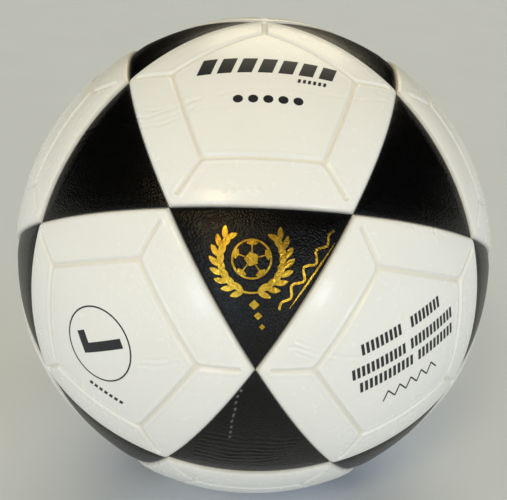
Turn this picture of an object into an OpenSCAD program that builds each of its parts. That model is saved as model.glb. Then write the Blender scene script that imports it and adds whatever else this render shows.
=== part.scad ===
// Size 5 soccer ball: twelve pentagon and twenty triangle cover panels over foam,
// a moulded rubber carcass, a thread winding and an air bladder with its valve.
//
// Frame: the origin is the centre of the ball, +Z is up, -Y is the front panel and
// +Y runs out through the valve. Millimetres.
//
// The cover is an icosidodecahedron blown up to a sphere. Every seam is an arc of one
// of six great circles, and each corner is where two pentagons meet two triangles.

/* [Ball] */
// Outside diameter of the inflated ball
ball_d = 220; // [216:0.5:222]
// Width of the seam between neighbouring cover panels
seam_gap = 0.4; // [0.2:0.1:0.8]

/* [Layers, outside to inside] */
// Thickness of the coated cover skin
skin_t = 1.2; // [0.8:0.1:1.6]
// Thickness of the foam bonded behind each cover skin
foam_t = 3.0; // [2:0.1:4]
// Thickness of the moulded rubber carcass
carcass_t = 0.8; // [0.6:0.1:1.2]
// Thickness of the wound thread layer
winding_t = 0.6; // [0.4:0.1:1]
// Wall of the air bladder
bladder_t = 0.7; // [0.5:0.1:1]
// Glue line between neighbouring layers
glue_gap = 0.2; // [0.15:0.05:0.3]

/* [Grooves in the pentagon panels] */
// Width of an embossed groove
groove_w = 3.6; // [2:0.1:5]
// Depth of an embossed groove
groove_depth = 0.6; // [0.3:0.1:0.7]
// Angle from a panel's middle to a corner of its inner pentagon
groove_corner = 20.3; // [15:0.1:21]
// Angle from a panel's middle to the end of a spoke
groove_end = 28.4; // [25:0.1:28.5]

/* [Valve] */
// Radius of the hole in the plug that takes the inflating needle
needle_r = 1.05; // [0.9:0.05:1.2]
// Radius of the plug's sealing ribs
plug_r = 3.2; // [3:0.1:3.4]
// Radius of the plug's head
plug_head_r = 4; // [3.8:0.1:4.2]
// Thickness of the plug's head
plug_head_t = 1.2; // [1:0.1:1.5]
// Length of the plug under its head
plug_length = 20; // [18:0.5:22]
// Radius of the valve housing's tube
housing_r = 6.2; // [6:0.1:6.6]
// Radius of the collar that shows in the cover's hole
collar_r = 5.2; // [5.1:0.1:5.3]
// Radius of the housing's flange inside the bladder
flange_r = 15; // [12:0.5:18]

/* [Hidden] */
$fn = 180;

// Radii of the layers
skin_out = ball_d / 2;
skin_in = skin_out - skin_t;
foam_out = skin_in - glue_gap;
foam_in = foam_out - foam_t;
carcass_out = foam_in - glue_gap;
carcass_in = carcass_out - carcass_t;
winding_out = carcass_in - glue_gap;
winding_in = winding_out - winding_t;
bladder_out = winding_in - glue_gap;
bladder_in = bladder_out - bladder_t;

// Angles of the cover's pattern, seen from the ball's centre
golden = (1 + sqrt(5)) / 2;
edge_arc = 36;                     // ten seam edges close one great circle
axis_arc = atan(2);                // between neighbouring pentagon centres
pentagon_corner = axis_arc / 2;    // from a pentagon's centre to its corner
triangle_corner = acos(golden / sqrt(3));
function side_angle(corner) = acos(cos(corner) / cos(edge_arc / 2));
turn = 72;                         // fivefold symmetry about the valve's axis
first_clock = 18;                  // where the front panel's first corner points
between = first_clock + turn / 2;  // where the middle of its first side points

// Each panel's place: its angle from -Y, its clock angle from +Z towards +X, and its
// turn about its own middle. Rings run from the front of the ball to the valve.
half_turn = 180;
triangle_ring_a = side_angle(pentagon_corner) + side_angle(triangle_corner);
triangle_ring_b = 90 - pentagon_corner + triangle_corner;
ring = [0 : 4];
white_places = [
    [0, first_clock, 0],
    for (i = ring) [axis_arc, first_clock + i * turn, half_turn],
    for (i = ring) [half_turn - axis_arc, between + i * turn, 0],
    [half_turn, first_clock, 0]
];
black_places = [
    for (i = ring) [triangle_ring_a, between + i * turn, 0],
    for (i = ring) [triangle_ring_b, between + i * turn, half_turn],
    for (i = ring) [half_turn - triangle_ring_b, first_clock + i * turn, 0],
    for (i = ring) [half_turn - triangle_ring_a, first_clock + i * turn, half_turn]
];
valve_panel = len(white_places) - 1;

// Channels of the grooves: their floor, and the inner pentagon's sides
groove_floor = skin_out - groove_depth;
channel_clear = 2;                 // how far a channel's cutter stands out of the cover
channel_lap = 1;                   // how far, in degrees, channels run past their bends
inner_side = atan(tan(groove_corner) * cos(turn / 2));
inner_half_side = asin(sin(groove_corner) * sin(turn / 2));

// Valve sizes, with y measured from the ball's centre along the valve's axis
fit_gap = 0.05;                    // the plug's running clearance in its housing
hole_gap = 0.2;                    // round the housing where it passes a layer
plug_top = skin_out - 0.4;         // the head's face lies just below the cover
plug_end = plug_top - plug_head_t - plug_length;
housing_bottom = plug_end - 2.5;
lip_top = plug_end - 0.5;          // the lip that stops the plug going through
lip_r = 1.6;
shoulder = skin_in - glue_gap;     // where the tube steps in to the collar
stem_r = plug_r - 0.3;
rib_w = 1.6;
rib_places = [0.6, 8.5, 16.5];     // ribs, measured up from the plug's end
funnel_r = 1.9;
funnel_depth = 0.7;
tip_chamfer = 0.8;
flange_t = 1;
patch_r = 14;
patch_t = 1;

function two_digits(i) = i < 10 ? str("0", i) : str(i);
function white_name(i) = i == valve_panel ? "white_valve_panel" : str("white_panel_", two_digits(i + 1));
function black_name(i) = str("black_panel_", two_digits(i + 1));
white_panels = [0 : len(white_places) - 1];
black_panels = [0 : len(black_places) - 1];

// A piece made round -X goes to its place on the ball
module place_on_ball(place) {
    rotate([0, place[1], 0]) rotate([-place[0], 0, 0]) rotate([0, 0, 90]) rotate([place[2], 0, 0])
        children();
}

// A profile drawn with x as radius and y as height is spun about the valve's axis
module spin_on_valve_axis() {
    rotate([-90, 0, 0]) rotate_extrude() children();
}

module shell(outer, inner) {
    difference() {
        sphere(outer);
        sphere(inner);
    }
}

// A pyramid from near the ball's centre out through -X, with one corner towards +Z.
// Its sides stand back from the seams by half the seam gap.
module wedge(sides, corner) {
    reach = 2 * skin_out;
    tip = -seam_gap / 2 / sin(side_angle(corner));
    rim = [
        for (i = [0 : sides - 1])
            let (a = i * 360 / sides)
            [tip - reach * cos(corner), reach * sin(corner) * sin(a), reach * sin(corner) * cos(a)]
    ];
    polyhedron(
        points = concat([[tip, 0, 0]], rim),
        faces = concat(
            [for (i = [0 : sides - 1]) [0, 1 + i, 1 + (i + 1) % sides]],
            [[for (i = [0 : sides - 1]) sides - i]]
        )
    );
}

module tile(sides, corner, outer, inner) {
    intersection() {
        shell(outer, inner);
        wedge(sides, corner);
    }
}

// A channel in the XY plane, between two angles measured from -X
module channel(from_angle, to_angle) {
    rotate([0, 0, half_turn + from_angle]) rotate_extrude(angle = to_angle - from_angle)
        translate([groove_floor, -groove_w / 2]) square([channel_clear, groove_w]);
}

// An inner pentagon with a spoke from each of its corners towards the panel's corner
module grooves() {
    for (i = ring) rotate([i * turn, 0, 0]) {
        rotate([90, 0, 0]) channel(-groove_end, -groove_corner);
        rotate([turn / 2, 0, 0]) rotate([0, inner_side, 0])
            channel(-inner_half_side - channel_lap, inner_half_side + channel_lap);
    }
}

module valve_hole(radius) {
    rotate([-90, 0, 0]) cylinder(h = 2 * skin_out, r = radius);
}

module white_panel(i) {
    color("ivory") difference() {
        place_on_ball(white_places[i]) {
            difference() {
                tile(5, pentagon_corner, skin_out, skin_in);
                grooves();
            }
        }
        if (i == valve_panel) valve_hole(collar_r + hole_gap);
    }
}

module black_panel(i) {
    color("#1c1c1e") place_on_ball(black_places[i]) tile(3, triangle_corner, skin_out, skin_in);
}

module white_panel_foam() {
    color("lightgray") difference() {
        for (i = white_panels)
            place_on_ball(white_places[i]) tile(5, pentagon_corner, foam_out, foam_in);
        valve_hole(housing_r + hole_gap);
    }
}

module black_panel_foam() {
    color("darkgray") for (i = black_panels)
        place_on_ball(black_places[i]) tile(3, triangle_corner, foam_out, foam_in);
}

module pierced_shell(outer, inner) {
    difference() {
        shell(outer, inner);
        valve_hole(housing_r + hole_gap);
    }
}

module rubber_carcass() {
    color("peru") pierced_shell(carcass_out, carcass_in);
}

module thread_winding() {
    color("linen") pierced_shell(winding_out, winding_in);
}

module bladder() {
    color("#2b2a28") pierced_shell(bladder_out, bladder_in);
}

// A rubber patch opposite the valve, of about the valve's weight, that evens out the spin
module balance_patch() {
    color("#3a3532") intersection() {
        shell(bladder_in - glue_gap, bladder_in - glue_gap - patch_t);
        rotate([90, 0, 0]) cylinder(h = skin_out, r = patch_r);
    }
}

module valve_housing() {
    color("#242322") {
        difference() {
            union() {
                spin_on_valve_axis() polygon([
                    [0, housing_bottom], [housing_r, housing_bottom], [housing_r, shoulder],
                    [collar_r, shoulder], [collar_r, plug_top], [0, plug_top]
                ]);
                intersection() {
                    shell(bladder_in - glue_gap, bladder_in - glue_gap - flange_t);
                    rotate([-90, 0, 0]) cylinder(h = skin_out, r = flange_r);
                }
            }
            spin_on_valve_axis() polygon([
                [0, housing_bottom - 1], [lip_r, housing_bottom - 1], [lip_r, lip_top],
                [plug_r + fit_gap, lip_top], [plug_r + fit_gap, plug_top - plug_head_t - fit_gap],
                [plug_head_r + fit_gap, plug_top - plug_head_t - fit_gap],
                [plug_head_r + fit_gap, plug_top + 1], [0, plug_top + 1]
            ]);
        }
    }
}

// A self-sealing plug: sealing ribs on the stem, a flat head and a needle hole right through
module valve_plug() {
    head_bottom = plug_top - plug_head_t;
    color("#111111") spin_on_valve_axis() difference() {
        union() {
            polygon([
                [0, plug_end], [stem_r - tip_chamfer, plug_end], [stem_r, plug_end + tip_chamfer],
                [stem_r, head_bottom], [plug_head_r, head_bottom], [plug_head_r, plug_top], [0, plug_top]
            ]);
            for (y = rib_places) translate([0, plug_end + tip_chamfer + y]) square([plug_r, rib_w]);
        }
        square([needle_r, skin_out]);
        translate([0, plug_top]) polygon([
            [0, 1], [funnel_r, 1], [funnel_r, 0], [needle_r, -funnel_depth], [0, -funnel_depth]
        ]);
    }
}

for (i = white_panels)
    white_panel(i);
for (i = black_panels)
    black_panel(i);
white_panel_foam();
black_panel_foam();
rubber_carcass();
thread_winding();
bladder();
balance_patch();
valve_housing();
valve_plug();
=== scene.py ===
# %% [markdown]
# # A size 5 soccer ball, built panel by panel
# A bonded match ball is a rubber bladder, wound with nylon thread, moulded into a thin
# rubber carcass and covered with 32 foam-backed skins: 12 white pentagons and 20 black
# triangles. The frame already holds every one of those pieces as a plain solid with its
# true size. This lesson gives them their looks: rolled edges, embossed grooves, leather
# grain, creases, printed marks and the finish of each inner layer.
# Lengths are metres, so millimetre sizes are written as a number times MM.

import math

import bmesh
import bpy
import numpy as np
from mathutils import Matrix, Vector
from mathutils.bvhtree import BVHTree


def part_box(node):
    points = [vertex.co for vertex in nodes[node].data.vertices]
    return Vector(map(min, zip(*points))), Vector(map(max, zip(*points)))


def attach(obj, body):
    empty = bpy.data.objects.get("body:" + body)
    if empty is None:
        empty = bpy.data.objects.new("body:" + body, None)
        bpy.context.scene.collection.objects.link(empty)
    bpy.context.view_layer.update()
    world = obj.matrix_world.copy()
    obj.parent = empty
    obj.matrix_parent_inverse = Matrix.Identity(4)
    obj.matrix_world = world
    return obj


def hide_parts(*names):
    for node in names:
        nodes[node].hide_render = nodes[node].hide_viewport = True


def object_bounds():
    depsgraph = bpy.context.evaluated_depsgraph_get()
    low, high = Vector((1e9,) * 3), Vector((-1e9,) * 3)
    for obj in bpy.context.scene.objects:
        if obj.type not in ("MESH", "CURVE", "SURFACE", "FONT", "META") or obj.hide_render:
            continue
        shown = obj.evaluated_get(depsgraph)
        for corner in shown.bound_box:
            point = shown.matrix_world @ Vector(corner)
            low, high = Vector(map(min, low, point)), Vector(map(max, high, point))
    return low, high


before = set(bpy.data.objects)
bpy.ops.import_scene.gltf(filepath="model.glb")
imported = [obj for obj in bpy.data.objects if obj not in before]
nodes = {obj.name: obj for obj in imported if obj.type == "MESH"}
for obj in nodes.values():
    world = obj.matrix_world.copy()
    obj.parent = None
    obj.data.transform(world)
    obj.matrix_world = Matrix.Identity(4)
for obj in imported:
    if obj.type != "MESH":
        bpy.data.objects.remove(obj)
cad_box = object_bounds()
print("frame nodes:", len(nodes), "box:", [tuple(round(c, 4) for c in corner) for corner in cad_box])

# %% [markdown]
# ## Sizes
# The ball's radius comes from the frame's own box, and the skin's inner face lies just
# outside the foam. Everything on the cover is measured from those two.

# %% Driving sizes
MM = 0.001
ball_r = round(max(cad_box[1]), 4)
foam_r = round(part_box("white_panel_foam")[1].z, 4)
glue_gap = 0.2 * MM
skin_in = foam_r + glue_gap
seam_gap = 0.4 * MM
print("ball radius", ball_r, "skin thickness", round(ball_r - skin_in, 5))

# %% [markdown]
# ## The pattern of the cover
# Blow an icosidodecahedron up to a sphere and each seam becomes an arc of one of six
# great circles. Five and ten panels at a time then sit on rings round the axis that runs
# from the front panel to the valve, so a place is only an angle from the front, a clock
# angle round the axis, and a turn of the panel about its own middle.

# %% Where each panel sits
GOLDEN = (1 + math.sqrt(5)) / 2
HALF_TURN = math.pi
TURN = math.radians(72)
HALF_EDGE = math.radians(18)
PENTAGON_CORNER = math.atan(2) / 2
TRIANGLE_CORNER = math.acos(GOLDEN / math.sqrt(3))


def side_angle(corner):
    """The angle from a panel's middle to the middle of its side."""
    return math.acos(math.cos(corner) / math.cos(HALF_EDGE))


def five_places(angle, clock, turn):
    return [(angle, clock + i * TURN, turn) for i in range(5)]


axis_arc = 2 * PENTAGON_CORNER
first_clock = HALF_EDGE
between = first_clock + TURN / 2
ring_a = side_angle(PENTAGON_CORNER) + side_angle(TRIANGLE_CORNER)
ring_b = HALF_TURN / 2 - PENTAGON_CORNER + TRIANGLE_CORNER
white_places = [
    (0, first_clock, 0),
    *five_places(axis_arc, first_clock, HALF_TURN),
    *five_places(HALF_TURN - axis_arc, between, 0),
    (HALF_TURN, first_clock, 0),
]
black_places = [
    *five_places(ring_a, between, 0),
    *five_places(ring_b, between, HALF_TURN),
    *five_places(HALF_TURN - ring_b, first_clock, 0),
    *five_places(HALF_TURN - ring_a, first_clock, HALF_TURN),
]
VALVE_PANEL = "white_valve_panel"
white_names = [f"white_panel_{i + 1:02d}" for i in range(11)] + [VALVE_PANEL]
black_names = [f"black_panel_{i + 1:02d}" for i in range(20)]


def place_matrix(place):
    """Carries a panel made round -Y, one corner up, to its place on the ball."""
    angle, clock, turn = place
    spin = Matrix.Rotation(clock, 4, "Y")
    return spin @ Matrix.Rotation(-angle, 4, "X") @ Matrix.Rotation(turn, 4, "Y")


place_of = {n: place_matrix(p) for n, p in zip(white_names + black_names, white_places + black_places)}
print("panels placed:", len(place_of))

# %% [markdown]
# ## Measuring on a curved panel
# A panel is shaped in one standard position: its middle at -Y, a corner towards +Z.
# Points are directions from the ball's centre. `flat_of` unrolls them into millimetres to
# the right and up from the middle, which is how a maker would lay out a print, and
# `direction_of` rolls them back. Distances to grooves are distances over the ball.

# %% Directions, distances and soft steps


def toward(angle, clock):
    """The direction at an angle from the panel's middle, on a clock face that starts upwards."""
    return np.array([math.sin(angle) * math.sin(clock), -math.cos(angle), math.sin(angle) * math.cos(clock)])


def flat_of(directions):
    """Right and up, in millimetres over the ball, of directions from its centre."""
    reach = np.hypot(directions[:, 0], directions[:, 2])
    angle = np.arctan2(reach, -directions[:, 1])
    scale = ball_r / MM * angle / np.maximum(reach, 1e-12)
    return directions[:, [0, 2]] * scale[:, None]


def direction_of(flat):
    """The directions of points given in millimetres right and up of the middle."""
    reach = np.hypot(flat[:, 0], flat[:, 1])
    angle = reach * MM / ball_r
    side = np.sin(angle) / np.maximum(reach, 1e-12)
    return np.stack([flat[:, 0] * side, -np.cos(angle), flat[:, 1] * side], axis=1)


def arc_distance(directions, start, end):
    """Millimetres over the ball to the great-circle arc from start to end."""
    normal = np.cross(start, end)
    normal /= np.linalg.norm(normal)
    beside = (directions @ np.cross(normal, start) > 0) & (directions @ np.cross(end, normal) > 0)
    to_end = np.minimum(*(np.linalg.norm(directions - tip, axis=1) for tip in (start, end)))
    return ball_r / MM * np.where(beside, np.abs(np.arcsin(directions @ normal)), 2 * np.arcsin(to_end / 2))


def line_distance(flat, points):
    """Millimetres from each flat point to a line through the given points."""
    nearest = np.full(len(flat), np.inf)
    for start, end in zip(np.array(points, float), np.array(points[1:], float)):
        step = end - start
        share = np.clip((flat - start) @ step / (step @ step), 0, 1)
        nearest = np.minimum(nearest, np.linalg.norm(flat - start - share[:, None] * step, axis=1))
    return nearest


def soft_step(low, high, value):
    """0 below low, 1 above high, and an S-curve between them."""
    share = np.clip((value - low) / (high - low), 0, 1)
    return share * share * (3 - 2 * share)


def soft_least(values, softness):
    """The least of several distances, rounded where two are nearly equal."""
    least = np.min(values, axis=0)
    return least - softness * np.log(np.sum(np.exp((least - values) / softness), axis=0))


# %% [markdown]
# ## Edges and grooves
# Before it is bonded, each skin is wrapped round its foam, so its edges roll down into
# the seams: a quarter of an ellipse in section. The pentagons are also embossed with a
# smaller pentagon and a spoke towards each corner. A groove is the distance to its
# centre line, passed through a soft step, so crossings blend by themselves.

# %% Rolled edge and embossed grooves
WHITE_ROLL = (2.1, 1.25)
BLACK_ROLL = (2.4, 0.4)
GROOVE_HALF_FLOOR = 0.45
GROOVE_HALF_WIDTH = 1.2
GROOVE_DEPTH = 0.8
GROOVE_LIP = 0.16
GROOVE_CORNER = math.radians(20.3)
GROOVE_END = math.radians(28.4)


def side_normals(sides, corner):
    """Outward normals of the great-circle planes that a panel's sides lie in."""
    slope = side_angle(corner)
    clocks = [(i + 0.5) * 2 * math.pi / sides for i in range(sides)]
    return np.array([
        [math.cos(slope) * math.sin(c), math.sin(slope), math.cos(slope) * math.cos(c)] for c in clocks
    ])


def rim_distance(directions, sides, corner):
    """Millimetres from the panel's own rim, rounded at its corners."""
    inside = -(directions @ side_normals(sides, corner).T) * ball_r / MM - seam_gap / 2 / MM
    return soft_least(inside.T, 0.5)


def rolled(distance, roll):
    """How deep a rolled edge lies, in millimetres."""
    width, depth = roll
    share = np.clip(1 - distance / width, 0, 1)
    return depth * (1 - np.sqrt(1 - share * share))


def groove_distance(directions):
    corners = [toward(GROOVE_CORNER, i * TURN) for i in range(5)]
    ends = [toward(GROOVE_END, i * TURN) for i in range(5)]
    lines = list(zip(corners, corners[1:] + corners[:1])) + list(zip(corners, ends))
    return soft_least(np.array([arc_distance(directions, a, b) for a, b in lines]), 0.3)


# %% [markdown]
# ## Creases
# A worn ball has stress folds: fine lines with a low ridge on both sides that wander and
# fade. Each one is a few points in millimetres on its panel. Marks on a panel, and some of
# its folds, run square to one of its corners. Their points are given as if that corner
# were up, and `on_panel` turns them into place.

# %% Creases as dips between two ridges


def on_panel(points, up):
    """Turns points laid out with the given clock angle upwards into the panel's right and up."""
    x, y = np.array(points, float).T
    clock = math.radians(up)
    return np.stack([
        x * math.cos(clock) + y * math.sin(clock), -x * math.sin(clock) + y * math.cos(clock)
    ], axis=1)


def wandering(flat, size):
    """Sways flat points a little, so that a straight crease looks grown and not drawn."""
    u, v = flat.T
    return flat + size * np.stack([
        np.sin(v / 2.1 + 1) + 0.5 * np.sin(v / 0.9 + u / 2.7),
        np.sin(u / 1.8) + 0.5 * np.sin(u / 1.1 - v / 2.3),
    ], axis=1)


def crease(flat, points, width, depth):
    """Height in millimetres of one crease: a dip, and half as high a ridge on both sides."""
    u, v = flat.T
    distance = line_distance(wandering(flat, 0.3), points) / width
    fade = 0.65 + 0.35 * np.sin(u / 3.1 + 2) * np.sin(v / 2.6)
    return -depth * fade * (np.exp(-distance**2) - 0.45 * np.exp(-(distance - 2)**2))


creases_of = {
    "white_panel_02": [
        ([(36, 36), (30.5, 34), (26, 29.5), (20.5, 23.5), (16.5, 18.5)], 0.6, 0.34),
        ([(31.5, 39), (23.5, 36), (18.5, 29), (16, 22.5)], 0.55, 0.30),
        ([(35, 32), (29, 30), (23, 25), (18, 19)], 0.5, 0.24),
        ([(18.5, 29), (12, 21.5), (5, 15)], 0.5, 0.2),
        ([(27, 36), (22, 31), (19.5, 25)], 0.5, 0.2),
        (on_panel([(-17, -3.8), (-9, -1.6), (8, -0.4), (25, -0.8), (38, 1.5), (52, 7)], 144), 0.6, 0.18),
        (on_panel([(14, 0.8), (24, 1.6), (33, 3.5)], 144), 0.5, 0.14),
    ],
    "white_panel_03": [
        ([(10, 48.5), (9, 43), (6.5, 37), (5.5, 31), (3, 21)], 0.6, 0.28),
        ([(12, 46), (10.5, 41), (9, 36.5)], 0.5, 0.2),
        ([(8, 46), (5, 39), (3, 33)], 0.5, 0.2),
        ([(52.5, 1), (49.5, -5), (47.5, -12), (45, -19), (43, -25)], 0.6, 0.22),
        ([(53, -1), (49.5, -1.5)], 0.6, 0.2),
        ([(51, -7), (47.5, -7.5)], 0.6, 0.24),
        ([(49.5, -13), (46, -13)], 0.6, 0.22),
        ([(47.5, -18.5), (44, -19)], 0.6, 0.24),
    ],
    "white_panel_01": [
        ([(17, 1), (21.5, 3), (26, 7), (30, 10)], 0.6, 0.26),
        ([(18, 4.5), (22, 6.5), (26, 10)], 0.5, 0.2),
        ([(22, 26), (25, 22), (28, 19)], 0.6, 0.22),
        ([(22, 21), (24, 18), (26, 15.5)], 0.5, 0.2),
    ],
    "white_panel_06": [([(-30, 12), (-12, 16), (8, 13)], 0.7, 0.2)],
    "white_panel_09": [([(-20, -30), (-4, -26), (14, -31)], 0.7, 0.2)],
    "black_panel_02": [
        ([(3 + i * 2.7, -19 + i * 0.6), (-4 + i * 2.7, -6 + i), (-13 + i * 2.4, 14)], 0.6, 0.18)
        for i in range(7)
    ],
    "black_panel_05": [
        ([(-22, 15), (-6, 15.2), (4, 14.4), (18, 15)], 0.6, 0.28),
        ([(-15, 10), (-3, 12), (12, 18)], 0.6, 0.2),
        ([(-20, -9), (-13, 0), (-8, 12)], 0.7, 0.14),
    ],
    "black_panel_06": [([(-16, 10), (-4, 4), (12, 8)], 0.7, 0.14)],
}
print("creased panels:", len(creases_of))

# %% [markdown]
# ## How high the cover stands
# One function per colour gives the height over the ball's true sphere: the white panels
# stand a little proud of it and the black ones are set back. Each also gives two masks that
# the materials read later. One is how near the rim a point is. The other is how deep in a
# groove it lies on a white panel, and how scuffed it is on a black one.
# The prints use the same function, so they follow every dip without any fitting.

# %% Height of a white and of a black panel
WHITE_STAND = 0.7
WHITE_CROWN = 0.3
BLACK_CROWN = 0.45
BLACK_SET_BACK = 0.25
PILLOW_WIDTH = 7
SCUFF = [(-24.5, -20), (-17.7, -18), (-9.4, -14.5), (0.4, -10)]
BLIND_DOTS = on_panel([(-14 + 3.2 * i, -45) for i in range(5)], 144)


def white_height(name, directions):
    """Height in millimetres, groove mask and rim mask of a white panel."""
    flat = flat_of(directions)
    rim = rim_distance(directions, 5, PENTAGON_CORNER)
    groove = groove_distance(directions)
    channel = 1 - soft_step(GROOVE_HALF_FLOOR, GROOVE_HALF_WIDTH, groove)
    inside = 0.5 + 0.5 * soft_step(0, PILLOW_WIDTH, groove)
    pillow = np.minimum(soft_step(0, PILLOW_WIDTH, rim), inside)
    height = WHITE_STAND + WHITE_CROWN * (pillow - 1) - rolled(rim, WHITE_ROLL)
    lip = GROOVE_LIP * np.exp(-(((groove - GROOVE_HALF_WIDTH - 0.5) / 0.6) ** 2))
    height += (lip - GROOVE_DEPTH * channel) * soft_step(0, 3, rim)
    height += sum((crease(flat, *spec) for spec in creases_of.get(name, [])), np.zeros(len(flat)))
    if name == "white_panel_02":
        for dot in BLIND_DOTS:
            height += 0.2 * (1 - soft_step(0.5, 1.1, np.linalg.norm(flat - dot, axis=1)))
    return height, channel, 1 - soft_step(0, 2.5, rim)


def black_height(name, directions):
    """Height in millimetres, scuff mask and rim mask of a black panel."""
    flat = flat_of(directions)
    rim = rim_distance(directions, 3, TRIANGLE_CORNER)
    height = -BLACK_SET_BACK + BLACK_CROWN * (soft_step(0, PILLOW_WIDTH, rim) - 1) - rolled(rim, BLACK_ROLL)
    height += sum((crease(flat, *spec) for spec in creases_of.get(name, [])), np.zeros(len(flat)))
    scuff = np.zeros(len(flat))
    if name == "black_panel_02":
        along = np.sin(flat @ np.array([1.9, 0.8])) + 0.6 * np.sin(flat @ np.array([4.3, 1.1]))
        off_line = line_distance(wandering(flat, 0.25), SCUFF)
        scuff = np.exp(-((off_line / 0.33) ** 2)) * soft_step(-0.1, 1.2, along)
    return height, scuff, 1 - soft_step(0, 2.5, rim)


# %% [markdown]
# ## The panels' meshes
# Each panel starts as a flat disc with three or five corners. Poking puts a point in its
# middle, and one subdivision turns the fan into an even net of small triangles. Extruding
# the net once, and keeping the original, gives a closed flat plate. Only then is the
# plate laid on the ball: the plate's flat outline becomes great-circle sides by itself,
# because a plane point seen from the centre is already a direction.
# The sides are measured from a tip just off the centre, which leaves the seam's gap.

# %% Build a flat plate and lay it on the ball
FRONT_ROWS = {"white": 120, "black": 96}
OTHER_ROWS = {"white": 66, "black": 54}
FRONT_PANELS = {
    "white_panel_01", "white_panel_02", "white_panel_03",
    "black_panel_01", "black_panel_02", "black_panel_05", "black_panel_06",
}
RIM_BUNCHING = 0.45
SHARP = math.radians(50)


def flat_plate(sides, corner, rows):
    """A closed flat plate: its top at z = 0 and its underside at z = -1, one corner up."""
    bm = bmesh.new()
    bmesh.ops.create_circle(bm, cap_ends=True, radius=math.tan(corner), segments=sides)
    bmesh.ops.poke(bm, faces=bm.faces[:])
    bmesh.ops.subdivide_edges(bm, edges=bm.edges[:], cuts=rows - 1, use_grid_fill=True)
    under = bmesh.ops.extrude_face_region(bm, geom=bm.faces[:], use_keep_orig=True)
    moved = [part for part in under["geom"] if isinstance(part, bmesh.types.BMVert)]
    bmesh.ops.translate(bm, verts=moved, vec=(0, 0, -1))
    bmesh.ops.recalc_face_normals(bm, faces=bm.faces[:])
    return bm


def bunched(flat, sides, corner):
    """Moves the net's rows outwards, so that they lie closest where the edge rolls."""
    middles = [(i + 0.5) * 2 * math.pi / sides for i in range(sides)]
    across = np.array([[math.sin(c), math.cos(c)] for c in middles])
    share = np.max(flat @ across.T, axis=1) / (math.tan(corner) * math.cos(math.pi / sides))
    return flat * (1 + RIM_BUNCHING * (1 - share))[:, None]


def lay_on_ball(flat, level, sides, corner, height_of):
    """Rolls flat points onto the ball: level 0 is the skin's outer face and -1 its inner face."""
    rays = np.stack([flat[:, 0], np.full(len(flat), -1.0), flat[:, 1]], axis=1)
    rays /= np.linalg.norm(rays, axis=1)[:, None]
    tip = np.array([0, -seam_gap / 2 / math.sin(side_angle(corner)), 0])

    def reach(radius):
        lead = rays @ tip
        return tip + rays * (-lead + np.sqrt(lead**2 - tip @ tip + radius**2))[:, None]

    at = reach(np.full(len(rays), ball_r))
    height, groove, rim = height_of(at / ball_r)
    return reach(np.where(level < -0.5, skin_in, ball_r + height * MM)), groove, rim


def mesh_points(mesh):
    co = np.zeros(len(mesh.vertices) * 3)
    mesh.vertices.foreach_get("co", co)
    return co.reshape(-1, 3)


def set_points(mesh, points):
    mesh.vertices.foreach_set("co", np.ascontiguousarray(points, float).ravel())
    mesh.update()


def moved_by(matrix, points):
    return points @ np.array(matrix)[:3, :3].T + np.array(matrix)[:3, 3]


def write_mask(mesh, name, values):
    layer = mesh.attributes.new(name, "FLOAT", "POINT")
    layer.data.foreach_set("value", np.asarray(values, np.float32))


def new_piece(name, bm):
    """Turns a bmesh into an object in the scene."""
    mesh = bpy.data.meshes.new(name)
    bm.to_mesh(mesh)
    bm.free()
    piece = bpy.data.objects.new(name, mesh)
    bpy.context.scene.collection.objects.link(piece)
    return piece


def smooth(mesh):
    """Shades a mesh smooth, all but its sharp edges."""
    mesh.polygons.foreach_set("use_smooth", np.ones(len(mesh.polygons), bool))
    mesh.set_sharp_from_angle(angle=SHARP)


# %% [markdown]
# The valve's panel has a round hole in its middle. Its plate is the same net with the
# innermost rows cut away, and the rows that are left slide from the hole's circle to the
# panel's outline.

# %% Open a round hole in a plate
HOLE_ROWS = 10
collar_hole = 5.4 * MM


def open_hole(bm, corner, rows):
    """Deletes the innermost rows of a five-sided plate and rounds the hole that is left."""
    side = math.tan(corner) * math.cos(math.pi / 5)
    middles = [(i + 0.5) * TURN for i in range(5)]

    def share(co):
        return max(co.x * math.sin(c) + co.y * math.cos(c) for c in middles) / side

    inner = HOLE_ROWS / rows
    cut = [f for f in bm.faces if share(f.calc_center_median()) < inner]
    bmesh.ops.delete(bm, geom=cut, context="FACES")
    rim = [e for e in bm.edges if e.is_boundary]
    tops = [e for e in rim if all(v.co.z > -0.5 for v in e.verts)]
    bottoms = [e for e in rim if all(v.co.z < -0.5 for v in e.verts)]
    bmesh.ops.bridge_loops(bm, edges=tops + bottoms)
    for vert in bm.verts:
        out = (share(vert.co) - inner) / (1 - inner)
        reach = math.hypot(vert.co.x, vert.co.y)
        circle = collar_hole / ball_r / reach
        vert.co.x *= out + (1 - out) * circle
        vert.co.y *= out + (1 - out) * circle
    bmesh.ops.recalc_face_normals(bm, faces=bm.faces[:])


# %% Make the 32 panels
CORNER = {"white": (5, PENTAGON_CORNER), "black": (3, TRIANGLE_CORNER)}
HEIGHT = {"white": white_height, "black": black_height}
plates = {}


def plate_for(name, colour):
    """The flat plate that a panel starts from, made once for each size of net."""
    sides, corner = CORNER[colour]
    rows = (FRONT_ROWS if name in FRONT_PANELS else OTHER_ROWS)[colour]
    key = (colour, rows, name == VALVE_PANEL)
    if key not in plates:
        bm = flat_plate(sides, corner, rows)
        if name == VALVE_PANEL:
            open_hole(bm, corner, rows)
        plates[key] = bpy.data.meshes.new("plate")
        bm.to_mesh(plates[key])
        bm.free()
    return plates[key]


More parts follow.
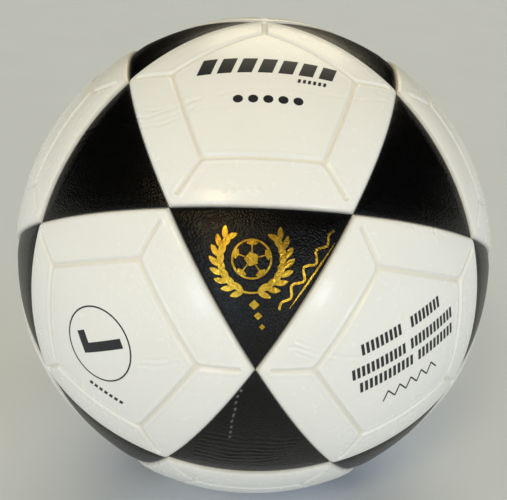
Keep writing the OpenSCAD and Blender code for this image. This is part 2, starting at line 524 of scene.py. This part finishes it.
def make_panel(name, colour):
    sides, corner = CORNER[colour]
    mesh = plate_for(name, colour).copy()
    mesh.name = name + "_skin"
    points = mesh_points(mesh)
    flat = points[:, :2]
    if name != VALVE_PANEL:
        flat = bunched(flat, sides, corner)
    laid, groove, rim = lay_on_ball(flat, points[:, 2], sides, corner, lambda d: HEIGHT[colour](name, d))
    set_points(mesh, moved_by(place_of[name], laid))
    write_mask(mesh, "groove", groove)
    write_mask(mesh, "rim", rim)
    smooth(mesh)
    piece = bpy.data.objects.new(name + "_skin", mesh)
    bpy.context.scene.collection.objects.link(piece)
    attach(piece, "ball")
    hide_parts(name)
    return piece


white_skins = [make_panel(name, "white") for name in white_names]
black_skins = [make_panel(name, "black") for name in black_names]
print("triangles in the cover:", sum(len(p.data.polygons) for p in white_skins + black_skins))

# %% [markdown]
# ## Printed marks
# The prints are thin layers of ink and one of gold foil. A print is drawn flat in
# millimetres with a few small tools, each of which bends a grid: a slanted block, a
# ribbon along any path, and a disc. The flat sheet is then extruded to a closed layer and
# rolled onto its panel. A ray from the ball's centre through each point finds the skin
# itself, so the ink dips into every crease and stays a hair proud of it.
# All marks are plain shapes: stripes, tally strokes, dots, a ringed tick and a zigzag.

# %% Tools for drawing flat marks
STEP = 0.4
INK_PROUD = 0.1
INK_SUNK = 0.15


def grid_in(bm, across, along):
    """Adds a unit grid and returns its new points, from 0 to 1 across and along."""
    made = bmesh.ops.create_grid(bm, x_segments=across, y_segments=along, size=0.5)
    for vert in made["verts"]:
        vert.co.x += 0.5
        vert.co.y += 0.5
    return made["verts"]


def block(bm, x, y, width, height, slant=0.0):
    """A slanted block with its lower left corner at x, y."""
    for vert in grid_in(bm, max(1, round(width / STEP)), max(1, round(height / STEP))):
        vert.co.x, vert.co.y = x + vert.co.x * width + vert.co.y * slant, y + vert.co.y * height


def ribbon(bm, path, width, steps):
    """A strip along a path, which gives x, y for 0 to 1. Its width may vary along it."""
    width_at = width if callable(width) else lambda share: width
    for vert in grid_in(bm, steps, 1):
        share, side = vert.co.x, vert.co.y - 0.5
        (x, y), (x0, y0), (x1, y1) = path(share), path(share - 1e-3), path(share + 1e-3)
        run = math.hypot(x1 - x0, y1 - y0)
        vert.co.x = x - (y1 - y0) / run * side * width_at(share)
        vert.co.y = y + (x1 - x0) / run * side * width_at(share)


def straight(x0, y0, x1, y1):
    return lambda share: (x0 + (x1 - x0) * share, y0 + (y1 - y0) * share)


def round_path(x, y, radius, start=0.0, sweep=360.0):
    """A path along a circle, its angles in degrees from the right, counter-clockwise."""
    def at(share):
        angle = math.radians(start + sweep * share)
        return x + radius * math.cos(angle), y + radius * math.sin(angle)
    return at


def bulge(share):
    """0 at both ends of a path and 1 in its middle."""
    return math.sin(math.pi * min(max(share, 0.0), 1.0))


def disc(bm, x, y, radius, sides=20, turned=0.0):
    """A disc, or with few sides a diamond or a pentagon, filled by rings of points."""
    made = bmesh.ops.create_circle(bm, radius=radius, segments=sides)["verts"]
    bmesh.ops.rotate(bm, verts=made, matrix=Matrix.Rotation(math.radians(turned), 3, "Z"))
    bmesh.ops.translate(bm, verts=made, vec=(x, y, 0))
    face = bmesh.ops.contextual_create(bm, geom=made)["faces"]
    rings = max(1, round(radius / STEP))
    for _ in range(rings - 1):
        bmesh.ops.inset_region(bm, faces=face, thickness=radius / rings * math.cos(math.pi / sides))
    bmesh.ops.poke(bm, faces=face)


# %% Roll a flat mark onto its panel


def skin_radii(skin, directions):
    """How far from the ball's centre the skin's outer face lies in each direction."""
    bm = bmesh.new()
    bm.from_mesh(skin.data)
    tree = BVHTree.FromBMesh(bm)
    bm.free()
    start = 2 * ball_r
    return np.array([start - tree.ray_cast(Vector(d * start), Vector(-d))[3] for d in directions])


def print_on(name, panel, up, bm, proud=INK_PROUD):
    """Gives a flat mark its thickness and rolls it onto a panel whose given corner is up."""
    bmesh.ops.remove_doubles(bm, verts=bm.verts[:], dist=1e-4)
    bmesh.ops.dissolve_degenerate(bm, edges=bm.edges[:], dist=1e-5)
    layer = bmesh.ops.extrude_face_region(bm, geom=bm.faces[:], use_keep_orig=True)
    top = [part for part in layer["geom"] if isinstance(part, bmesh.types.BMVert)]
    bmesh.ops.translate(bm, verts=top, vec=(0, 0, 1))
    bmesh.ops.recalc_face_normals(bm, faces=bm.faces[:])
    piece = new_piece(name, bm)
    points = mesh_points(piece.data)
    directions = moved_by(place_of[panel], direction_of(on_panel(points[:, :2], up)))
    skin = skin_radii(bpy.data.objects[panel + "_skin"], directions)
    level = np.where(points[:, 2] > 0.5, proud, -INK_SUNK)
    set_points(piece.data, directions * (skin + level * MM)[:, None])
    smooth(piece.data)
    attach(piece, "ball")
    print(name, "faces:", len(piece.data.polygons))
    return piece


# %% Stripes and dots on the upper panel
stripes = bmesh.new()
for i in range(7):
    block(stripes, -26.5 + 7.9 * i, 7.7, 5.6, 9.3 - 0.25 * i, slant=2.4)
for i in range(6):
    block(stripes, 12.5 + 2 * i, 3.4, 1.1, 2.0, slant=0.4)
stripe_print = print_on("print_stripes", "white_panel_02", 144, stripes)

dots = bmesh.new()
for i in range(5):
    disc(dots, -10 + 5.7 * i, -6.6, 1.9)
dot_print = print_on("print_five_dots", "white_panel_02", 144, dots)

# %% Ringed tick on the left panel
RING_R = 15.5
tick = bmesh.new()
ribbon(tick, round_path(0, 0, RING_R), 0.6, 240)
ribbon(tick, straight(-9.5, 0.6, -3.2, -6.3), 4.0, 24)
ribbon(tick, straight(-4.8, -5.1, 9.6, 7.4), 4.0, 46)
bmesh.ops.translate(tick, verts=tick.verts[:], vec=(-2.3, -1.8, 0))
for i in range(7):
    block(tick, -2.5 + 2.5 * i, -22.8, 1.5, 1.6, slant=0.3)
tick_print = print_on("print_ringed_tick", "white_panel_01", 0, tick)

# %% Tally rows and a zigzag line on the right panel
tally = bmesh.new()
for x0, x1, gap_at, y in [(-18, 22, 2, 10), (-24, 28, 1, 1), (-22, 27, 4, -6.2)]:
    count = round((x1 - x0) / 2.1)
    for i in range(count):
        x = x0 + (x1 - x0) * i / count
        if abs(x - gap_at) > 1.6:
            block(tally, x, y, 1.25, 4.6, slant=0.5)
tally_print = print_on("print_tally_rows", "white_panel_03", 72, tally)


def zigzag(share):
    """Runs up and down from left to right, ten strokes in all."""
    stroke = share * 10 % 2
    return -13 + 28 * share, -16.6 + 4.4 * min(stroke, 2 - stroke)


zigzag_line = bmesh.new()
ribbon(zigzag_line, zigzag, 0.6, 100)
zigzag_print = print_on("print_zigzag", "white_panel_03", 72, zigzag_line)

# %% [markdown]
# ## Gold foil on the front triangle
# Hot foil is pressed on, so it is thicker than ink and has a hammered shine. The mark is
# a wreath round a small ball, with three diamonds below it and a waving and a straight line
# beside it.

# %% Wreath, small ball and lines
foil = bmesh.new()
BADGE = (-3.0, 2.0)
WREATH_R = 12.2
BALL_ICON_R = 7.0
ribbon(foil, round_path(*BADGE, BALL_ICON_R), 0.7, 64)
disc(foil, *BADGE, 2.7, sides=5, turned=90)
for i in range(5):
    heading = 90 + 72 * i
    spoke = straight(*round_path(*BADGE, 2.5)(heading / 360), *round_path(*BADGE, 5.6)(heading / 360))
    ribbon(foil, spoke, 0.45, 8)
    patch = round_path(*BADGE, 6.0, heading - 19, 38)
    ribbon(foil, patch, lambda share: 0.2 + 1.8 * bulge(share), 16)


def leaf(bm, x, y, heading, length, fat):
    """A pointed leaf that starts at x, y and points along its heading, in degrees."""
    angle = math.radians(heading)
    path = straight(x, y, x + length * math.cos(angle), y + length * math.sin(angle))
    ribbon(bm, path, lambda share: fat * bulge(share) ** 0.8, 8)


for side in (-1, 1):
    ribbon(foil, round_path(*BADGE, WREATH_R, -90, side * 132), 0.7, 30)
    for i in range(8):
        around = -90 + side * (12 + 16 * i)
        x, y = round_path(*BADGE, WREATH_R)(around / 360)
        for lean in (32, -30):
            leaf(foil, x, y, around + side * (90 - lean), 5.2, 2.1)
for i, size in enumerate([1.9, 1.5, 1.1]):
    disc(foil, BADGE[0] + 1.5 + 1.6 * i, BADGE[1] - 16.5 - 4.1 * i, size, sides=4)
LINE_START, LINE_END = (7.5, -16.0), (27.0, 13.5)
line_run = math.dist(LINE_START, LINE_END)


def waving(share):
    """A wave along the line beside the wreath, which dies out towards its ends."""
    x, y = straight(*LINE_START, *LINE_END)(share)
    sway = 1.5 * math.sin(share * 9 * math.pi) * bulge(share) ** 0.5 / line_run
    return x - (LINE_END[1] - LINE_START[1]) * sway, y + (LINE_END[0] - LINE_START[0]) * sway


ribbon(foil, waving, 0.9, 110)
ribbon(foil, straight(11.5, -15.5, 27.6, 8.9), lambda share: 0.15 + 0.6 * bulge(share), 50)
foil_print = print_on("print_gold_wreath", "black_panel_01", 300, foil, proud=0.22)

# %% [markdown]
# ## Thread round the winding
# Nylon thread is wound over the bladder's shell in every direction, always as a great
# circle, the shortest way round. One thread is a small square swept round a ring. Copies
# of it are turned so that their axes spread evenly over the sphere: the golden angle does
# that. Rings that would cross the valve are left out.

# %% Wind the thread
winding_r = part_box("thread_winding")[1].z
THREAD_R = 0.25 * MM
THREAD_SINK = 0.1 * MM
THREAD_TURNS = 300
THREAD_STEPS = 60
valve_clear = 7 * MM

ring = bmesh.new()
bmesh.ops.create_circle(ring, radius=THREAD_R, segments=4)
bmesh.ops.rotate(ring, verts=ring.verts[:], matrix=Matrix.Rotation(HALF_TURN / 2, 3, "X"))
bmesh.ops.translate(ring, verts=ring.verts[:], vec=(winding_r - THREAD_SINK, 0, 0))
bmesh.ops.spin(
    ring, geom=ring.verts[:] + ring.edges[:], axis=(0, 0, 1), angle=2 * HALF_TURN,
    steps=THREAD_STEPS, use_merge=True
)
bmesh.ops.remove_doubles(ring, verts=ring.verts[:], dist=1e-6)
bmesh.ops.recalc_face_normals(ring, faces=ring.faces[:])
one_ring = ring.faces[:]
for i in range(THREAD_TURNS):
    height = (i + 0.5) / THREAD_TURNS
    around = i * 2 * HALF_TURN / GOLDEN**2
    out = math.sqrt(1 - height**2)
    axis = Vector((math.cos(around) * out, height, math.sin(around) * out))
    if winding_r * axis.y > valve_clear:
        copy = bmesh.ops.duplicate(ring, geom=one_ring)["geom"]
        verts = [part for part in copy if isinstance(part, bmesh.types.BMVert)]
        bmesh.ops.rotate(ring, verts=verts, matrix=Vector((0, 0, 1)).rotation_difference(axis).to_matrix())
bmesh.ops.delete(ring, geom=one_ring, context="FACES")
strands = new_piece("thread_strands", ring)
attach(strands, "ball")
print("thread faces:", len(strands.data.polygons))

# %% [markdown]
# ## Writing shader maths
# A finish is a small formula. `Wire` wraps one socket of a material so that `+`, `*` and
# the reflected forms, such as `1 - mask`, add their own Math nodes, and its one method
# `node` adds any other node. Colours and vectors go through Mix and Vector Math.

# %% A socket that does maths


class Wire:
    """One output in a material's node tree."""

    def __init__(self, tree, socket=None):
        self.tree, self.socket = tree, socket

    def node(self, kind, inputs=None, out=0, **settings):
        """Adds a node: first its settings, then its values and links."""
        made = self.tree.nodes.new("ShaderNode" + kind)
        for key, value in settings.items():
            setattr(made, key, value)
        for key, value in (inputs or {}).items():
            if isinstance(value, Wire):
                self.tree.links.new(value.socket, made.inputs[key])
            else:
                made.inputs[key].default_value = value
        return Wire(self.tree, made.outputs[out] if made.outputs else None)

    def math(self, operation, first, second):
        return self.node("Math", {0: first, 1: second}, operation=operation)

    def __add__(self, other):
        return self.math("ADD", self, other)

    def __sub__(self, other):
        return self.math("SUBTRACT", self, other)

    def __rsub__(self, other):
        return self.math("SUBTRACT", other, self)

    def __mul__(self, other):
        return self.math("MULTIPLY", self, other)

    def __pow__(self, other):
        return self.math("POWER", self, other)

    __radd__ = __add__
    __rmul__ = __mul__


# %% Shorthands for the patterns that most finishes share


def coords(wire):
    """The point on the piece, in millimetres."""
    place = wire.node("TexCoord", out="Object")
    return wire.node("VectorMath", {0: place, 1: (1 / MM, 1 / MM, 1 / MM)}, operation="MULTIPLY")


def noise(wire, size, detail=2.0, rough=0.5):
    """Cloudy values from 0 to 1 whose spots are about size millimetres across."""
    found = {"Vector": coords(wire), "Scale": 1 / size, "Detail": detail, "Roughness": rough}
    return wire.node("TexNoise", found)


def cells(wire, size, feature="F1"):
    """Distance inside round cells of about size millimetres."""
    found = {"Vector": coords(wire), "Scale": 1 / size}
    return wire.node("TexVoronoi", found, out="Distance", feature=feature)


def between_colours(wire, share, low, high):
    """Mixes two colours, each a triple or another Wire."""
    low, high = (c if isinstance(c, Wire) else (*c, 1) for c in (low, high))
    return wire.node("Mix", {0: share, 6: low, 7: high}, out=2, data_type="RGBA")


def step_between(wire, value, low, high):
    """0 below low and 1 above high, as a soft mask."""
    return wire.node(
        "MapRange", {"Value": value, "From Min": low, "From Max": high}, interpolation_type="SMOOTHSTEP"
    )


def mask_of(wire, name):
    return wire.node("Attribute", out="Fac", attribute_name=name)


def new_finish(name, recipe, **constants):
    """A material whose recipe returns base colour, roughness and a height in millimetres."""
    material = bpy.data.materials.new(name)
    material.use_nodes = True
    tree = material.node_tree
    tree.nodes.clear()
    wire = Wire(tree)
    colour, roughness, height = recipe(wire)
    bump = wire.node("Bump", {"Height": height, "Distance": MM, "Strength": 1.0})
    looks = {"Base Color": colour, "Roughness": roughness, "Normal": bump, **constants}
    shader = wire.node("BsdfPrincipled", looks)
    wire.node("OutputMaterial", {"Surface": shader})
    return material


def give(pieces, material):
    for piece in pieces:
        piece.data.materials.clear()
        piece.data.materials.append(material)


# %% [markdown]
# ## The white cover
# Coated synthetic leather: warm cream, darker and yellower in the grooves as painted shade with some dirt,
# and darker at the rims as painted shade where the edges roll into the seams, with very fine pores that only
# show in a highlight.

# %% White cover


def white_cover(wire):
    clouds = noise(wire, 38, detail=3)
    specks = noise(wire, 3.5, detail=4)
    groove, rim = mask_of(wire, "groove"), mask_of(wire, "rim")
    colour = between_colours(wire, clouds, (0.78, 0.765, 0.72), (0.83, 0.82, 0.785))
    # Painted shade with some dirt: the grooves' colour is darkened towards tan.
    colour = between_colours(wire, groove ** 4 * 0.34 + specks * 0.05, colour, (0.66, 0.57, 0.38))
    # Painted shade: the rims are darkened where the edges roll down into the seams.
    colour = between_colours(wire, rim ** 3 * (0.25 + specks * 0.5), colour, (0.40, 0.36, 0.29))
    roughness = 0.19 + clouds * 0.06 + specks * 0.08 + groove * 0.06
    pores = cells(wire, 0.7) * 0.018 + noise(wire, 0.4, detail=2) * 0.02 + noise(wire, 9, detail=2) * 0.12
    return colour, roughness, pores


give(white_skins, new_finish("white_cover", white_cover, **{"Specular IOR Level": 0.5}))

# %% [markdown]
# ## The black cover
# The same leather, embossed with a pebble grain: round cells with low tops and narrow
# valleys. The tops are rubbed a little paler and shinier than the valleys. Near the rims the colour is
# painted paler and bluer: a painted sheen on the rolled edges.

# %% Black cover


def black_cover(wire):
    pebble = cells(wire, 0.85)
    fine = noise(wire, 0.5, detail=2)
    patches = noise(wire, 22, detail=3)
    top = 1 - step_between(wire, pebble, 0.15, 0.75)
    rim = mask_of(wire, "rim")
    rubbed = top * (0.4 + patches * 0.6)
    colour = between_colours(wire, rubbed, (0.0008, 0.0008, 0.0009), (0.003, 0.0029, 0.003))
    # Painted sheen: the rims are painted paler and bluer, as the rolled edges' reflection of a cool light.
    colour = between_colours(wire, rim * 0.2, colour, (0.010, 0.011, 0.013))
    colour = between_colours(wire, mask_of(wire, "groove") * 0.6, colour, (0.40, 0.41, 0.43))
    roughness = 0.27 + patches * 0.08 - top * 0.05 + fine * 0.06
    return colour, roughness, top * 0.08 + fine * 0.02


give(black_skins, new_finish("black_cover", black_cover, **{"Specular IOR Level": 0.32}))

# %% [markdown]
# ## Ink and foil
# Ink is slightly glossy, with fine pores of its own. Foil is metal with a fine hammered
# texture and a few rougher patches, whose darker brown colour is a painted reflection of dark surroundings.

# %% Ink and gold foil


def ink(wire):
    wear = noise(wire, 1.6, detail=4)
    colour = between_colours(wire, wear, (0.008, 0.009, 0.012), (0.022, 0.024, 0.03))
    return colour, 0.34 + wear * 0.16, cells(wire, 0.55) * 0.012 + wear * 0.01


def gold(wire):
    hammer = cells(wire, 0.8, "SMOOTH_F1")
    tone = noise(wire, 5, detail=3)
    mottle = step_between(wire, noise(wire, 1.3, detail=3), 0.42, 0.62)
    colour = between_colours(wire, tone, (0.72, 0.40, 0.03), (0.98, 0.66, 0.08))
    # Painted reflection: mottled patches darkened to brown, as if they mirrored dark surroundings.
    dark_reflection_patches = mottle * step_between(wire, tone, 0.6, 0.4) * 0.5
    colour = between_colours(wire, dark_reflection_patches, colour, (0.36, 0.16, 0.012))
    return colour, 0.24 + tone * 0.14 + mottle * 0.1, hammer * 0.12 + noise(wire, 0.35) * 0.05


give([stripe_print, dot_print, tick_print, tally_print, zigzag_print], new_finish("print_ink", ink))
give([foil_print], new_finish("gold_foil", gold, Metallic=1.0))

# %% [markdown]
# ## The layers inside
# Foam has small closed cells. The carcass is brown moulded rubber, faintly pebbled. The
# nylon threads are paler than the bed under them: the bed is painted darker as the shade that the threads
# cast on it.
# Bladder and valve are butyl rubber, nearly black, with paler patches of talc.

# %% Foam, rubber, thread and butyl


def foam(wire):
    bubble = cells(wire, 0.7)
    tint = noise(wire, 15, detail=3)
    colour = between_colours(wire, tint * 0.6 + bubble * 0.4, (0.62, 0.61, 0.57), (0.80, 0.79, 0.76))
    return colour, 0.85 + tint * 0.1, bubble * 0.16


def carcass_rubber(wire):
    tint = noise(wire, 12, detail=4)
    flow = noise(wire, 2.0, detail=3)
    colour = between_colours(wire, tint, (0.32, 0.20, 0.10), (0.52, 0.36, 0.21))
    return colour, 0.62 + flow * 0.2, flow * 0.08 + cells(wire, 1.5) * 0.05


def thread_bed_painted_shade(wire):
    fibres = noise(wire, 0.5, detail=3)
    tint = noise(wire, 7, detail=3)
    # Painted shade: the bed is darker than the threads, as the shade that lies under them.
    colour = between_colours(wire, fibres * 0.5 + tint * 0.5, (0.20, 0.17, 0.11), (0.44, 0.39, 0.29))
    return colour, 0.6 + fibres * 0.2, fibres * 0.12


def thread(wire):
    fibres = noise(wire, 0.3, detail=2)
    tint = noise(wire, 11, detail=3)
    colour = between_colours(wire, tint * 0.7 + fibres * 0.3, (0.58, 0.54, 0.42), (0.84, 0.81, 0.71))
    return colour, 0.38 + fibres * 0.2, fibres * 0.03


def butyl(wire):
    dust = noise(wire, 9, detail=5)
    fine = noise(wire, 0.6, detail=2)
    chalk = step_between(wire, dust, 0.5, 0.8)
    colour = between_colours(wire, chalk * 0.5 + fine * 0.1, (0.018, 0.017, 0.016), (0.11, 0.105, 0.10))
    return colour, 0.5 + chalk * 0.3 + fine * 0.08, fine * 0.03 + dust * 0.05


foam_finish = new_finish("foam_backing", foam)
butyl_finish = new_finish("butyl_rubber", butyl)
give([nodes["white_panel_foam"], nodes["black_panel_foam"]], foam_finish)
give([nodes["rubber_carcass"]], new_finish("carcass_rubber", carcass_rubber))
give([nodes["thread_winding"]], new_finish("winding_bed_painted_shade", thread_bed_painted_shade))
give([strands], new_finish("winding_thread", thread))
give([nodes[n] for n in ("bladder", "balance_patch", "valve_housing", "valve_plug")], butyl_finish)

# %% [markdown]
# ## Floor, light and camera
# A plain pale floor under the ball. Every light is far away, so none of them cuts the
# floor, and its spread sets how soft it is. A warm key high in front gives the broad
# highlight. One to the right, one low in front and one behind add their own. The light from
# above, the three fills and the sky are hidden from reflections: they lift the shades
# without greying the black panels.

# %% Floor


def pale_floor(wire):
    tint = noise(wire, 120, detail=3)
    return between_colours(wire, tint, (0.57, 0.61, 0.67), (0.61, 0.65, 0.71)), 0.75 + tint * 0.1, tint * 0.2


bm = bmesh.new()
bmesh.ops.create_grid(bm, x_segments=8, y_segments=8, size=12.0)
bmesh.ops.translate(bm, verts=bm.verts[:], vec=(0, 0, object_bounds()[0][2]))
floor = new_piece("floor", bm)
give([floor], new_finish("pale_floor", pale_floor))

# %% Lights


def aim_from(azimuth, elevation, distance):
    """A matrix that stands off from the ball's centre and looks back at it."""
    a, e = math.radians(azimuth), math.radians(elevation)
    back = np.array([math.sin(a) * math.cos(e), -math.cos(a) * math.cos(e), math.sin(e)])
    right = np.array([math.cos(a), math.sin(a), 0])
    upward = np.cross(back, right)
    turned = Matrix([[right[i], upward[i], back[i], back[i] * distance] for i in range(3)] + [[0, 0, 0, 1]])
    return turned


def soft_light(name, azimuth, elevation, spread, strength, colour, in_gloss=True):
    """A light from far away. Its spread is the angle in degrees that it fills in the sky."""
    lamp = bpy.data.lights.new(name, "SUN")
    lamp.angle, lamp.energy, lamp.color = math.radians(spread), strength, colour
    light = bpy.data.objects.new(name, lamp)
    light.matrix_world = aim_from(azimuth, elevation, 2.0)
    light.visible_glossy = in_gloss
    bpy.context.scene.collection.objects.link(light)


soft_light("key_light", 8, 38, 10, 0.54, (1.0, 0.78, 0.40))
soft_light("right_light", 57, 7, 9, 0.40, (0.92, 0.96, 1.0))
soft_light("low_light", 12, 4, 14, 0.50, (0.66, 0.82, 1.0))
soft_light("back_light", 205, 40, 36, 0.70, (1.0, 0.90, 0.66))
soft_light("top_light", 20, 75, 50, 0.62, (1.0, 0.80, 0.22), in_gloss=False)
soft_light("front_fill", 25, 8, 60, 0.80, (0.86, 0.93, 1.0), in_gloss=False)
soft_light("right_fill", 105, 14, 60, 1.15, (0.76, 0.88, 1.0), in_gloss=False)
soft_light("left_fill", -55, 8, 60, 1.20, (0.76, 0.88, 1.0), in_gloss=False)

world = bpy.data.worlds.new("studio")
world.use_nodes = True
world.node_tree.nodes["Background"].inputs["Color"].default_value = (0.96, 0.98, 1.0, 1)
world.node_tree.nodes["Background"].inputs["Strength"].default_value = 0.25
world.cycles_visibility.glossy = False
bpy.context.scene.world = world
bpy.context.scene.view_settings.view_transform = "Standard"

# %% Camera
CAMERA_AZIMUTH, CAMERA_ELEVATION, CAMERA_ROLL = 30.36, 22.68, 2.59
CAMERA_DISTANCE = 0.4286
lens_data = bpy.data.cameras.new("camera")
lens_data.sensor_width = 36
lens_data.lens = 63.2
lens_data.shift_y = 0.0102
lens_data.clip_start = 0.01
camera = bpy.data.objects.new("camera", lens_data)
camera.matrix_world = aim_from(CAMERA_AZIMUTH, CAMERA_ELEVATION, CAMERA_DISTANCE) @ Matrix.Rotation(
    math.radians(CAMERA_ROLL), 4, "Z"
)
bpy.context.scene.collection.objects.link(camera)
bpy.context.scene.camera = camera
